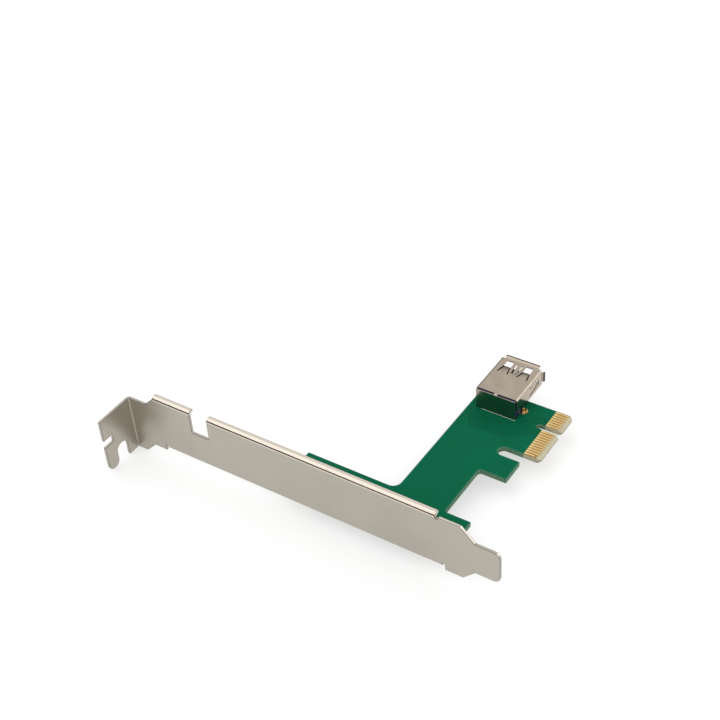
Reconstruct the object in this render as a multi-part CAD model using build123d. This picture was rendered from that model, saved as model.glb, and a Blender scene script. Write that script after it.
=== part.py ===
from build123d import *
import os

# Plug-in card: a board with an x1 edge tongue, a full-height slot bracket and one USB 3.0 type-A receptacle.
# Origin: centre of the key notch, at the tip of the edge tongue, in the middle of the board's thickness.
# X runs from the bracket towards the receptacle's mouth, Y from the tongue's tip up to the bracket's tab,
# and Z out of the component side. All sizes are in millimetres.

# Board
board_t = 1.6
foil = 0.05                 # copper and plating that stands proud of the laminate
key_w = 1.9
key_depth = 7.5
key_mouth = 0.5             # chamfer at the mouth of the key notch
tongue_long = 12.15         # from the key's centre towards the bracket
tongue_short = 8.15         # from the key's centre to the board's far edge
tongue_corner = 1.2
bevel_run = 1.05
bevel_drop = 0.5
relief_w = 3.4              # slot between the tongue and the retention tab
relief_top = 12.1
tab_w = 7.8
tab_tip = 4.6
arm_low = 12.9
arm_high = 28.6
strip_low = 5.0
strip_high = 57.5
strip_depth_low = 13.2      # strip depth between the tongue side end and the arm
strip_depth_high = 14.4     # strip depth beyond the arm
board_gap = 1.2             # between the bracket's inner face and the strip's front edge
arm_fillet = 2.6
corner_fillet = 1.0

# Edge contacts
pin_pitch = 1.0
pin_w = 0.7
pins_long = 11
pins_short = 7
pin_from_key = 1.5
pin_top = 5.2               # upper end of a contact, above the tongue's tip
pin_short_by = 0.9          # the two presence contacts end that much higher at the tip
pin_edge_gap = 0.1          # from the bevel's upper edge to the contacts

# Bracket
sheet = 0.86
bend_in = 0.3               # inner bend radius
face_to_key = 57.15         # bracket's outer face to the key notch's centre
tongue_drop = 12.0          # bracket's lower end below the board's tongue tip
bracket_len = 119.16        # lower end to the inner face of the tab
body_w = 18.04              # over both bent edges
lip_depth = 1.96            # bent edges, from the outer face
tongue_low = 2.87           # bracket tongue's lower side, from the foot edge's outer face
tongue_w = 10.24
tongue_len = 7.1
tongue_round = 2.0
shoulder = 3.5              # rise and run of the 45 degree shoulders
raw_out = 0.7               # the unbent edges stand this much outside the foot edge
raw_in = 0.75               # and this much inside the upper edge
neck_w = 18.42
neck_low = -4.3
lip_start = 18.44
lip_end = 110.11
foot_start = 16.8
foot_end = 106.9
bend_relief_w = 0.9
bend_relief_gap = 0.2
notch_w = 6.0               # cable notch in the upper edge
notch_start = 90.82
notch_floor = 10.61
notch_round = 0.4
tab_reach = 12.34           # tab's outer edge in front of the bracket's outer face
tab_slot_w = 2.5
tab_slot_low = 4.55
tab_slot_depth = 3.55
screw_notch_w = 4.3
screw_notch_x = 6.05        # centre line in front of the outer face
screw_notch_top = 1.95
finger_round = 1.9

# Bracket feet and screws
foot_w = 9.0
foot_reach = 12.4           # from the bracket's outer face
foot_round = 2.0
screw_x = 8.0               # hole centre behind the bracket's outer face
screw_low = 10.0            # height of the lower screw above the tongue's tip
screw_high = 52.5
thread_d = 3.0
hole_clear = 0.2            # radial clearance of a screw in the board
collar_wall = 0.7
collar_len = 0.9
head_d = 5.6
head_h = 2.0
head_edge = 0.6
screw_out = 0.5             # screw end beyond the collar
land_w = 0.9                # copper ring round a screw hole
recess_w = 0.9
recess_d = 1.1

# Receptacle shell
shell_t = 0.3
shell_bend = 0.65           # outer bend radius
shell_w = 13.1
shell_h = 5.72
shell_top = 6.9             # above the board's component side
shell_y = 20.05             # centre line
shell_rear = -1.15          # outer face of the back cover
shell_front = 14.85
lip_radius = 0.9            # of a mouth lip's outer face
lip_turn = 70               # degrees that a lip curls outwards
top_lip_w = 10.9
side_lip_h = 3.4
cover_slit = 0.45
cover_bend = 0.6            # outer bend radius of the cover's bridge
cover_bridge = 1.0
cover_foot_gap = 0.1
skirt_top = 2.84            # lower edge of the side walls at the rear, above the board
floor_start = 5.1           # the shell's floor begins here
spring_root = 8.6
spring_tip = 12.0
spring_window = 2.1         # opening past a spring's tip
spring_root_w = 2.85
spring_tip_w = 1.5
spring_offset = 3.1
spring_slit = 0.38
spring_dip = 0.35
latch_root = 13.7
latch_tip = 10.0
latch_window = 0.5
latch_root_w = 1.3
latch_tip_w = 0.95
side_spring_root = 7.4
side_spring_window = 0.8
side_spring_root_w = 2.1
side_spring_tip_w = 1.1
leg_x = 3.65
leg_w = 1.3
leg_out = 1.0               # leg end below the board
leg_hole_d = 2.0
leg_ring = 0.35

# Receptacle housing and contacts
fit_gap = 0.05              # housing to shell
blade_w = 11.1
blade_t = 1.84
blade_gap = 0.85            # above the blade
blade_end = 12.8
blade_round = 0.4
spacer_h = 1.0
spacer_front = 2.1
strip_t = 0.25
power_w = 0.75
power_row = 1.05
power_offsets = (-3.5, -1.0, 1.0, 3.5)
power_names = ("ground", "data_plus", "data_minus", "power")
power_end = 10.1
fast_w = 0.6
fast_row = -0.35
fast_pitch = 2.0
fast_names = ("receive_minus", "receive_plus", "drain", "transmit_minus", "transmit_plus")
fast_start = 11.1
fast_end = 12.5
tail_out = 1.0              # contact tails below the board
bump = 0.45
pin_hole_d = 0.9
pin_ring = 0.2
plating = 0.05
solder_h = 0.8

# Flat sides of the small round pieces
pin_sides = 10
hole_sides = 24             # holes of the screws and of the shell's legs

# Places worked out from the sizes above
top_z = board_t / 2
face_x = -face_to_key
foot_z = -top_z - foil - sheet          # outer face of the bracket's foot edge
bend_out = bend_in + sheet
base_y = -tongue_drop
tab_y = base_y + bracket_len
shell_top_z = top_z + shell_top
shell_low_z = shell_top_z - shell_h
inner_half = shell_w / 2 - shell_t
tube_rear = shell_rear + shell_t + cover_slit
screw_hole_d = thread_d + 2 * hole_clear
blade_top_z = shell_top_z - shell_t - blade_gap
blade_low_z = blade_top_z - blade_t
seat_z = top_z + foil
block_front = floor_start - fit_gap
screw_places = [(face_x + screw_x, screw_low), (face_x + screw_x, screw_high)]
leg_offset = shell_w / 2 - shell_t / 2
leg_places = [(leg_x, shell_y - leg_offset), (leg_x, shell_y + leg_offset)]
fast_offsets = [fast_pitch * (i - 2) for i in range(len(fast_names))]
power_places = [(power_row, shell_y + offset) for offset in power_offsets]
fast_places = [(fast_row, shell_y + offset) for offset in fast_offsets]


def area(x0, y0, x1, y1):
    """Rectangle between two corners, in the sketch plane."""
    return Pos((x0 + x1) / 2, (y0 + y1) / 2) * Rectangle(abs(x1 - x0), abs(y1 - y0))


def block(x0, x1, y0, y1, z0, z1):
    """Box between two corners."""
    return Pos((x0 + x1) / 2, (y0 + y1) / 2, (z0 + z1) / 2) * Box(x1 - x0, y1 - y0, z1 - z0)


def rounded(sketch, radius, *corners):
    """Round the sketch's vertices that lie nearest the given corners."""
    for corner in corners:
        sketch = fillet(sketch.vertices().sort_by_distance((*corner, 0))[0], radius)
    return sketch


def bar(radius, height, sides):
    """Bar about the origin, with flat sides in place of a round wall."""
    return Pos(0, 0, -height / 2) * extrude(RegularPolygon(radius, sides), height)


def drill(x, y, diameter, sides):
    """Bar through the whole board."""
    return Pos(x, y) * bar(diameter / 2, 4 * board_t, sides)


def board_outline():
    """Flat outline of the laminate."""
    front = face_x + sheet + board_gap
    back_low = front + strip_depth_low
    back_high = front + strip_depth_high
    slot_x = -tongue_long - relief_w
    tab_x = slot_x - tab_w
    outline = area(front, strip_low, back_low, arm_high) + area(front, arm_low, back_high, strip_high)
    outline += area(front, arm_low, tongue_short, arm_high)
    outline += area(tab_x, tab_tip, -tongue_long, arm_high) + area(-tongue_long, 0, tongue_short, arm_high)
    outline = rounded(outline, arm_fillet, (back_high, arm_high))
    outline = rounded(outline, corner_fillet, (back_low, arm_low), (tab_x, arm_low))
    outline = rounded(outline, tongue_corner, (-tongue_long, 0), (tongue_short, 0))
    slot_round = relief_w / 2
    outline -= area(slot_x, -board_t, -tongue_long, relief_top - slot_round)
    outline -= Pos(slot_x + slot_round, relief_top - slot_round) * Circle(slot_round)
    key = area(-key_w / 2, -board_t, key_w / 2, key_depth - key_w / 2)
    key += Pos(0, key_depth - key_w / 2) * Circle(key_w / 2)
    mouth_half = key_w / 2 + key_mouth
    mouth = make_face(Polyline((-mouth_half, 0), (mouth_half, 0), (0, mouth_half), close=True))
    return outline - key - mouth


def edge_bevels():
    """Wedges that bevel the tongue's tip on both faces."""
    wedges = Part()
    for face_z in (-top_z, top_z):
        tip_z = face_z * (1 - bevel_drop / top_z)
        profile = make_face(Polyline((0, face_z), (bevel_run, face_z), (0, tip_z), close=True))
        wedge = extrude(Plane.YZ * profile, tongue_long + tongue_short, dir=(1, 0, 0))
        wedges += Pos(-tongue_long, 0) * wedge
    return wedges


def circuit_board():
    board = Pos(0, 0, -board_t / 2) * extrude(board_outline(), board_t) - edge_bevels()
    for x, y in screw_places:
        board -= drill(x, y, screw_hole_d + 2 * plating, hole_sides)
    for x, y in leg_places:
        board -= drill(x, y, leg_hole_d + 2 * plating, hole_sides)
    for x, y in power_places + fast_places:
        board -= drill(x, y, pin_hole_d + 2 * plating, pin_sides)
    return board


def edge_contacts(side):
    """Flat contacts on one face of the tongue: side is 1 for the component face, -1 for the other."""
    places = [-pin_from_key - i * pin_pitch for i in range(pins_long)]
    places += [pin_from_key + i * pin_pitch for i in range(pins_short)]
    presence = places[pins_long - 1] if side > 0 else places[-1]
    contacts = []
    for x in places:
        low = bevel_run + pin_edge_gap + (pin_short_by if x == presence else 0)
        contact = Pos(0, 0, top_z) * extrude(area(x - pin_w / 2, low, x + pin_w / 2, pin_top), foil)
        contacts.append(contact if side > 0 else mirror(contact, Plane.XY))
    return Compound(contacts)


def plated_hole(x, y, hole_d, ring, sides):
    """Barrel with a flat ring on each face of the board."""
    inner = hole_d / 2
    outer = inner + plating
    spool = bar(outer + ring, board_t + 2 * foil, sides) - bar(inner, 2 * board_t, sides)
    gap = bar(outer + 2 * ring, board_t, sides) - bar(outer, board_t, sides)
    return Pos(x, y) * (spool - gap)


def plated_holes(places, hole_d, ring, sides):
    return Compound([plated_hole(x, y, hole_d, ring, sides) for x, y in places])


def bend_profile(reach):
    """Section of a bent edge: x from the sheet's outer face, y inwards from the bent edge's outer face."""
    outer = CenterArc((bend_out, bend_out), bend_out, 180, 90)
    inner = CenterArc((bend_out, bend_out), bend_in, 180, 90)
    return make_face([
        outer,
        Line((bend_out, 0), (reach, 0)),
        Line((reach, 0), (reach, sheet)),
        Line((reach, sheet), (bend_out, sheet)),
        inner,
        Line((sheet, bend_out), (0, bend_out)),
    ])


def bent_edge(y0, y1, reach, upper):
    """Bent edge of the bracket between two heights, on its upper or its foot side."""
    profile = bend_profile(reach)
    edge = Pos(0, base_y + y1) * extrude(Plane.XZ * profile, y1 - y0)
    if upper:
        edge = Pos(0, 0, body_w) * mirror(edge, Plane.XY)
    return Pos(face_x, 0, foot_z) * edge


def bracket_face():
    """Face sheet of the bracket, drawn as height along the bracket and width from the foot edge."""
    high = body_w - raw_in
    neck_high = neck_low + neck_w
    tongue_high = tongue_low + tongue_w
    low_start = tongue_len + tongue_low + raw_out
    high_start = tongue_len + high - tongue_high
    low_end = bracket_len - 2 * shoulder
    outline = make_face(Polyline(
        (0, tongue_low), (tongue_len, tongue_low), (low_start, -raw_out), (low_end, -raw_out),
        (low_end - raw_out - neck_low, neck_low), (bracket_len - bend_in, neck_low),
        (bracket_len - bend_in, neck_high), (lip_end + high - neck_high, neck_high), (lip_end, high),
        (high_start, high), (tongue_len, tongue_high), (0, tongue_high), close=True))
    outline = rounded(outline, tongue_round, (0, tongue_low), (0, tongue_high))
    relief_low = foot_start - bend_relief_w
    relief_high = foot_end + bend_relief_w
    relief_floor = bend_out + bend_relief_gap
    outline -= area(relief_low, -2 * raw_out, relief_high, bend_out)
    outline -= area(relief_low, 0, foot_start, relief_floor) + area(foot_end, 0, relief_high, relief_floor)
    lip_cut = area(lip_start - bend_relief_w, body_w - relief_floor, lip_start, body_w)
    outline -= lip_cut + area(lip_start, body_w - bend_out, lip_end, body_w)
    notch = area(notch_start, notch_floor, notch_start + notch_w, body_w + sheet)
    notch = rounded(notch, notch_round, (notch_start, notch_floor), (notch_start + notch_w, notch_floor))
    face = extrude(Plane.YZ * (outline - notch), sheet, dir=(1, 0, 0))
    return Pos(face_x, base_y, foot_z) * face


def tab_outline():
    """Tab of the bracket, drawn as place along X from the outer face and width from the foot edge."""
    neck_high = neck_low + neck_w
    half = screw_notch_w / 2
    outline = area(-tab_reach, neck_low, -bend_in, neck_high)
    slot = area(-2 * tab_reach, tab_slot_low, tab_slot_depth - tab_reach, tab_slot_low + tab_slot_w)
    notch = area(-screw_notch_x - half, 2 * neck_low, -screw_notch_x + half, screw_notch_top - half)
    notch += Pos(-screw_notch_x, screw_notch_top - half) * Circle(half)
    outline = outline - slot - notch
    finger_x = -screw_notch_x - half
    outline = rounded(outline, finger_round, (-tab_reach, neck_low), (finger_x, neck_low))
    outline = rounded(outline, notch_round, (-tab_reach, neck_high), (-screw_notch_x + half, neck_low))
    slot_in = tab_slot_depth - tab_reach
    return rounded(outline, notch_round, (slot_in, tab_slot_low), (slot_in, tab_slot_low + tab_slot_w))


def bracket_tab():
    """Tab at the top with its bend, which folds forward, away from the board."""
    tab = extrude(Plane.XZ * tab_outline(), -sheet)
    bend = CenterArc((-bend_in, -bend_in), bend_out, 0, 90)
    bend_face = make_face([
        bend,
        Line((-bend_in, sheet), (-bend_in, 0)),
        CenterArc((-bend_in, -bend_in), bend_in, 0, 90),
        Line((0, -bend_in), (sheet, -bend_in)),
    ])
    corner = Pos(0, 0, neck_low) * extrude(bend_face, neck_w)
    return Pos(face_x, tab_y, foot_z) * (tab + corner)


def bracket_foot(x, y):
    """Foot under the board with the threaded collar that takes a bracket screw."""
    reach = face_x + foot_reach
    outline = area(face_x + lip_depth - sheet, y - foot_w / 2, reach, y + foot_w / 2)
    outline = rounded(outline, foot_round, (reach, y - foot_w / 2), (reach, y + foot_w / 2))
    foot = Pos(0, 0, foot_z) * extrude(outline, sheet)
    collar = Pos(x, y, foot_z - collar_len / 2) * Cylinder(thread_d / 2 + collar_wall, collar_len)
    return foot + collar


def mounting_bracket():
    bracket = bracket_face() + bracket_tab()
    bracket += bent_edge(foot_start, foot_end, lip_depth, False)
    bracket += bent_edge(lip_start, notch_start, lip_depth, True)
    bracket += bent_edge(notch_start + notch_w, lip_end, lip_depth, True)
    for x, y in screw_places:
        bracket += bracket_foot(x, y)
        bracket -= Pos(x, y) * Cylinder(thread_d / 2, 4 * board_t)
    return bracket


def bracket_screw(x, y):
    """Pan-head screw from the component side into the bracket's foot."""
    head = Pos(0, 0, head_h / 2) * Cylinder(head_d / 2, head_h)
    head = chamfer(head.edges().sort_by(Axis.Z)[-1], head_edge)
    arm = head_d / 2 - recess_w
    recess = block(-arm, arm, -recess_w / 2, recess_w / 2, head_h - recess_d, 2 * head_h)
    recess += block(-recess_w / 2, recess_w / 2, -arm, arm, head_h - recess_d, 2 * head_h)
    length = seat_z - foot_z + collar_len + screw_out
    shank = Pos(0, 0, -length / 2) * Cylinder(thread_d / 2, length)
    shank = chamfer(shank.edges().sort_by(Axis.Z)[0], screw_out / 2)
    return Pos(x, y, seat_z) * (head + shank - recess)


def spring_cut(root, tip, root_w, tip_w, window):
    """Slits and window round a spring, drawn along X about the centre line."""
    way = 1 if tip > root else -1
    end = tip + way * window
    half_root = root_w / 2 + spring_slit
    half_tip = tip_w / 2 + spring_slit
    cut = Polyline((root, -half_root), (tip, -half_tip), (end, -half_tip), (end, half_tip), (tip, half_tip),
                   (root, half_root), close=True)
    return make_face(cut)


def spring_leaf(root, tip, root_w, tip_w):
    """Leaf that is bent inwards from its root, lying under the plane z = 0."""
    run = tip - root
    way = 1 if run > 0 else -1
    held = root - way * shell_t
    depth = shell_t + spring_dip
    side = make_face(Polyline((held, 0), (root, 0), (tip, -spring_dip), (tip, -depth), (root, -shell_t),
                              (held, -shell_t), close=True))
    leaf = extrude(Plane.XZ * side, root_w / 2, both=True)
    half_root = root_w / 2
    half_tip = tip_w / 2
    plan = make_face(Polyline((held, -half_root), (root, -half_root), (tip, -half_tip), (tip, half_tip),
                              (root, half_root), (held, half_root), close=True))
    return leaf & (Pos(0, 0, -2 * depth) * extrude(plan, 3 * depth))


def add_spring(shell, place, root, tip, root_w, tip_w, window):
    """Cut a spring out of a wall and put its bent leaf back. place carries the wall's outer face to z = 0."""
    cut = extrude(spring_cut(root, tip, root_w, tip_w, window), 2 * shell_t, both=True)
    return shell - place * cut + place * spring_leaf(root, tip, root_w, tip_w)


def mouth_lip(width):
    """Lip that curls outwards at the mouth, drawn from a wall's outer face at z = 0."""
    face = CenterArc((0, lip_radius), lip_radius, -90, lip_turn)
    inside = CenterArc((0, lip_radius), lip_radius + shell_t, -90, lip_turn)
    profile = make_face([face, Line(face @ 1, inside @ 1), inside, Line(inside @ 0, face @ 0)])
    return extrude(Plane.XZ * profile, width / 2, both=True)


def back_cover():
    """Cover that is folded down at the rear and hangs on one bridge in the middle."""
    low = top_z + cover_foot_gap
    cover = block(shell_rear, shell_rear + shell_t, shell_y - inner_half, shell_y + inner_half, low,
                  shell_top_z - shell_t)
    bend = make_face([
        CenterArc((cover_bend, -cover_bend), cover_bend, 90, 90),
        Line((0, -cover_bend), (shell_t, -cover_bend)),
        CenterArc((cover_bend, -cover_bend), cover_bend - shell_t, 90, 90),
        Line((cover_bend, -shell_t), (cover_bend, 0)),
    ])
    bridge = Pos(shell_rear, shell_y, shell_top_z) * extrude(Plane.XZ * bend, cover_bridge / 2, both=True)
    run = block(shell_rear + cover_bend, tube_rear + shell_t, shell_y - cover_bridge / 2,
                shell_y + cover_bridge / 2, shell_top_z - shell_t, shell_top_z)
    return cover + bridge + run


def shell_leg(side):
    """Solder leg that runs down from a side wall through the board."""
    y0 = shell_y + side * leg_offset
    low = -top_z - leg_out
    high = top_z + skirt_top + shell_t
    outline = make_face(Polyline((leg_x - leg_w / 2, high), (leg_x - leg_w / 2, low + leg_w / 3),
                                 (leg_x - leg_w / 6, low), (leg_x + leg_w / 6, low),
                                 (leg_x + leg_w / 2, low + leg_w / 3), (leg_x + leg_w / 2, high), close=True))
    return Pos(0, y0) * extrude(Plane.XZ * outline, shell_t / 2, both=True)


def usb_shell():
    middle = shell_top_z - shell_h / 2
    outer = RectangleRounded(shell_w, shell_h, shell_bend)
    inner = RectangleRounded(shell_w - 2 * shell_t, shell_h - 2 * shell_t, shell_bend - shell_t)
    tube = extrude(Plane.YZ * (outer - inner), shell_front - tube_rear, dir=(1, 0, 0))
    shell = Pos(tube_rear, shell_y, middle) * tube
    shell -= block(tube_rear - shell_t, floor_start, shell_y - shell_w, shell_y + shell_w,
                   shell_low_z - shell_t, top_z + skirt_top)
    top = Pos(0, shell_y, shell_top_z)
    floor = Pos(0, shell_y, shell_low_z) * Rot(180, 0, 0)
    for offset in (-spring_offset, spring_offset):
        for wall in (top, floor):
            shell = add_spring(shell, wall * Pos(0, offset), spring_root, spring_tip, spring_root_w,
                               spring_tip_w, spring_window)
    shell = add_spring(shell, top, latch_root, latch_tip, latch_root_w, latch_tip_w, latch_window)
    left = Pos(0, shell_y + shell_w / 2, middle) * Rot(-90, 0, 0)
    right = Pos(0, shell_y - shell_w / 2, middle) * Rot(90, 0, 0)
    for wall in (left, right):
        shell = add_spring(shell, wall, side_spring_root, spring_tip, side_spring_root_w, side_spring_tip_w,
                           side_spring_window)
        shell += wall * Pos(shell_front, 0) * mouth_lip(side_lip_h)
    for wall in (top, floor):
        shell += wall * Pos(shell_front, 0) * mouth_lip(top_lip_w)
    return shell + back_cover() + shell_leg(-1) + shell_leg(1)


def power_contact(y):
    """Spring contact on the underside of the blade, with its tail through the board."""
    run_z = blade_low_z + strip_t / 2
    path = FilletPolyline((power_row, y, -top_z - tail_out), (power_row, y, run_z),
                          (power_end - 3 * bump, y, run_z), (power_end - bump, y, run_z - bump),
                          (power_end, y, run_z - bump / 3), radius=2 * strip_t)
    return strip_along(path, power_w)


def fast_contact(y):
    """Flat contact at the blade's tip, with its tail through the board behind the others."""
    run_z = (blade_low_z + blade_top_z) / 2
    face_z = blade_low_z + strip_t / 2
    drop = run_z - face_z
    path = FilletPolyline((fast_row, y, -top_z - tail_out), (fast_row, y, run_z),
                          (fast_start - drop, y, run_z), (fast_start, y, face_z), (fast_end, y, face_z),
                          radius=strip_t)
    return strip_along(path, fast_w)


def strip_along(path, width):
    """Strip of the given width that follows a path in a plane of constant Y."""
    start = Plane(origin=path @ 0, x_dir=(0, 1, 0), z_dir=path % 0)
    return sweep(start * Rectangle(width, strip_t), path=path)


def usb_housing(contacts):
    """Plastic block with the blade that carries the contacts."""
    half = inner_half - fit_gap
    rear = shell_rear + shell_t + fit_gap
    body = block(rear, block_front, shell_y - half, shell_y + half, seat_z, shell_top_z - shell_t - fit_gap)
    rear_edge = body.edges().filter_by(Axis.Y).group_by(Axis.Z)[-1].sort_by(Axis.X)[0]
    body = chamfer(rear_edge, (cover_bend - shell_t) * 2 / 3)
    top_corners = body.edges().filter_by(Axis.X).group_by(Axis.Z)[-1]
    body = fillet(top_corners, shell_bend - shell_t)
    body -= block(rear - shell_t, spacer_front, shell_y - shell_w, shell_y + shell_w, 0, seat_z + spacer_h)
    blade = block(block_front - shell_t, blade_end, shell_y - blade_w / 2, shell_y + blade_w / 2, blade_low_z,
                  blade_top_z)
    blade = fillet(blade.edges().filter_by(Axis.Z).group_by(Axis.X)[-1], blade_round)
    housing = body + blade
    for contact in contacts:
        housing -= contact
    return housing


def usb_pin_spacer(contacts):
    """Comb under the block that keeps the tails in line with the board's holes."""
    half = inner_half - fit_gap
    rear = shell_rear + shell_t + fit_gap
    spacer = block(rear, spacer_front - fit_gap, shell_y - half, shell_y + half, seat_z, seat_z + spacer_h)
    for contact in contacts:
        spacer -= contact
    return spacer


def solder_joint(x, y, ring_r, tail_w, tail):
    """Solder cone under the board round one tail."""
    wide = Pos(x, y, -seat_z) * RegularPolygon(ring_r, pin_sides)
    narrow = Pos(x, y, -seat_z - solder_h) * RegularPolygon(tail_w / 2 + strip_t, pin_sides)
    return loft([narrow, wide]) - tail


def build():
    power = [power_contact(shell_y + offset) for offset in power_offsets]
    fast = [fast_contact(shell_y + offset) for offset in fast_offsets]
    shell = usb_shell()
    pin_ring_r = pin_hole_d / 2 + plating + pin_ring
    leg_ring_r = leg_hole_d / 2 + plating + leg_ring
    pieces = {
        "circuit_board": circuit_board(),
        "component_side_contacts": edge_contacts(1),
        "solder_side_contacts": edge_contacts(-1),
        "mounting_bracket": mounting_bracket(),
        "bracket_screws": Compound([bracket_screw(x, y) for x, y in screw_places]),
        "screw_hole_plating": plated_holes(screw_places, screw_hole_d, land_w, hole_sides),
        "usb_shell": shell,
        "usb_housing": usb_housing(power + fast),
        "usb_pin_spacer": usb_pin_spacer(power + fast),
        "shell_leg_holes": plated_holes(leg_places, leg_hole_d, leg_ring, hole_sides),
        "contact_holes": plated_holes(power_places + fast_places, pin_hole_d, pin_ring, pin_sides),
        "shell_leg_joints": Compound([solder_joint(x, y, leg_ring_r, leg_w, shell) for x, y in leg_places]),
        "power_contact_joints": Compound([solder_joint(*place, pin_ring_r, power_w / 2, tail)
                                          for place, tail in zip(power_places, power)]),
        "fast_contact_joints": Compound([solder_joint(*place, pin_ring_r, fast_w / 2, tail)
                                         for place, tail in zip(fast_places, fast)]),
    }
    for name, contact in zip(power_names, power):
        pieces[f"{name}_contact"] = contact
    for name, contact in zip(fast_names, fast):
        pieces[f"{name}_contact"] = contact
    return pieces


os.makedirs("parts", exist_ok=True)
for node, solid in build().items():
    export_step(solid, f"parts/{node}.step")
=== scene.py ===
"""Finishes, routing, screws, solder and stage for a plug-in adapter card.

The card lies flat with its component side up. X runs from the bracket to the receptacle's mouth,
Y from the edge tongue to the bracket's tab, Z out of the component side. Lengths are in metres,
and the materials' patterns count in millimetres.
"""

import math
import random

import bmesh
import bpy
from bpy.props import FloatProperty, FloatVectorProperty, PointerProperty
from mathutils import Matrix, Vector


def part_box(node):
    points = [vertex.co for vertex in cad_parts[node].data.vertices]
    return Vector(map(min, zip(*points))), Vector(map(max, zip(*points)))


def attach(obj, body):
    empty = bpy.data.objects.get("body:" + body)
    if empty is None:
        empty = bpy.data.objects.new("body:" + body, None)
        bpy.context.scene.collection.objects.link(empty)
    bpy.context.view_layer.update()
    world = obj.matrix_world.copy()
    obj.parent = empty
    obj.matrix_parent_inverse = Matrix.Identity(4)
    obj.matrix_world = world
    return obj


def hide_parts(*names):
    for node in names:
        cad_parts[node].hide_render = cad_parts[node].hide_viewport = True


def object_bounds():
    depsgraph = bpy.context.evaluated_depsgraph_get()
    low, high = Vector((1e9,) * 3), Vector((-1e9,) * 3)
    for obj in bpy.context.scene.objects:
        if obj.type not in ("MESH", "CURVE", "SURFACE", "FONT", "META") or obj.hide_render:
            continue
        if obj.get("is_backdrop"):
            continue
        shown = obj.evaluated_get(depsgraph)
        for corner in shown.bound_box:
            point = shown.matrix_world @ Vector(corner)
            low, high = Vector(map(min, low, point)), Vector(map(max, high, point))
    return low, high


bl_info = {
    "name": "Adapter card finish",
    "version": (1, 0, 0),
    "blender": (4, 5, 0),
    "location": "3D View > Sidebar > Card",
    "description": "Dresses a plug-in adapter card with its finishes and sets it on a stage",
    "category": "Object",
}

MM = 0.001

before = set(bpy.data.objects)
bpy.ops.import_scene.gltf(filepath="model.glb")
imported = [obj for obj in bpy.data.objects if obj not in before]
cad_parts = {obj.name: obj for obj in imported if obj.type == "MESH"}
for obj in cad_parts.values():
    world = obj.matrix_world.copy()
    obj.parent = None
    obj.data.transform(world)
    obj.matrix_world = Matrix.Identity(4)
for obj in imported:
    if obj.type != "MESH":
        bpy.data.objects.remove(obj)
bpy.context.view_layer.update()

BOARD_LOW, BOARD_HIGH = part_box("circuit_board")
SHELL_LOW, SHELL_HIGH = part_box("usb_shell")
FINGERS_LOW, FINGERS_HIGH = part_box("component_side_contacts")
CONTACTS = [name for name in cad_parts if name.endswith("_contact")]

# Thickness of the gold on the board's faces, and the rounding of its edges
FOIL = FINGERS_HIGH.z - BOARD_HIGH.z
BRIM = 0.3 * FOIL

# Edges of the laminate between its outer limits, and the rounding of its inner corners
TONGUE_FAR = -12.15 * MM
TAB_SIDE = -15.55 * MM
TAB_FAR = -23.35 * MM
TAB_TIP = 4.6 * MM
SLOT_TOP = 12.1 * MM
ARM_LOW = 12.9 * MM
ARM_HIGH = 28.6 * MM
STRIP_LOW = 5.0 * MM
STRIP_BACK_LOW = BOARD_LOW.x + 13.2 * MM
STRIP_BACK_HIGH = BOARD_LOW.x + 14.4 * MM
ARM_FILLET = 2.6 * MM
CORNER_FILLET = 1.0 * MM
SLOT_FILLET = (TONGUE_FAR - TAB_SIDE) / 2

# Distance within which points are one, and angles of a flat joint between two faces,
# of a sharp edge and of a corner too narrow to round
WELD = 0.001 * MM
FLAT = math.radians(0.5)
SHARP = math.radians(35)
NARROW = math.radians(25)

# Values between which most of a cloudy pattern lies
CLOUD = (0.3, 0.7)

# Gloss of the lacquer, and the glass weave that shows in it
LACQUER_SPECULAR = 0.045
WEAVE_PER_MM = 2.2
WEAVE_DEPTH = 0.004 * MM

WHITE = (1, 1, 1, 1)


def colour(name, default, description):
    return FloatVectorProperty(name=name, description=description, default=default, size=3,
                               min=0, max=1, subtype="COLOR")


def length(name, default, description):
    return FloatProperty(name=name, description=description, default=default, min=0,
                         unit="LENGTH")


class CardColours(bpy.types.PropertyGroup):
    """Colours of the card's finishes."""

    mask: colour("Solder mask", (0.0004, 0.134, 0.063), "Green lacquer over copper")
    margin: colour("Bare margin", (0.018, 0.155, 0.090),
                   "Lacquer over laminate, where the copper ends")
    laminate: colour("Laminate", (0.30, 0.155, 0.035), "Glass-epoxy between the edge contacts")
    tip: colour("Tongue edges", (0.55, 0.505, 0.36),
                "Glass-epoxy of the bevel and of the tongue's milled edges")
    edge: colour("Cut edge", (0.17, 0.31, 0.20),
                 "Lacquered glass-epoxy where the outline is milled")
    gold: colour("Gold", (0.74, 0.52, 0.22), "Plating of the contacts and rings")
    # Painted reflection: the lighter gold further from the tongue's tip stands in for a reflection
    # gradient along the contacts.
    painted_gold_reflection: colour("Fresh gold", (0.86, 0.70, 0.34),
                       "Plating of the edge contacts where no slot has rubbed it")
    bracket: colour("Bracket", (0.46, 0.43, 0.37), "Satin nickel on the bracket")
    # Painted highlight: this lighter nickel stands in for the overhead lamp's reflection along the
    # bracket's folded edge.
    fold_highlight: colour("Bracket fold", (0.66, 0.59, 0.51),
                 "Nickel that the folding tool has rubbed bright")
    shell: colour("Shell", (0.42, 0.355, 0.285), "Smooth nickel on the receptacle's shell")
    screw: colour("Screws", (0.60, 0.59, 0.56), "Bright nickel on the screws")
    solder: colour("Solder", (0.62, 0.63, 0.64), "Bright solder")
    # Blue plastic of the receptacle, darkened by painted shade that stands in for the deep shade
    # inside the shell.
    housing: colour("Housing", (0.006, 0.015, 0.075), "Dark blue plastic of the receptacle")
    spacer: colour("Spacer", (0.012, 0.012, 0.014), "Black plastic comb under the receptacle")
    legend: colour("Legend", (0.78, 0.80, 0.76), "Printed outline of the receptacle")


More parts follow.
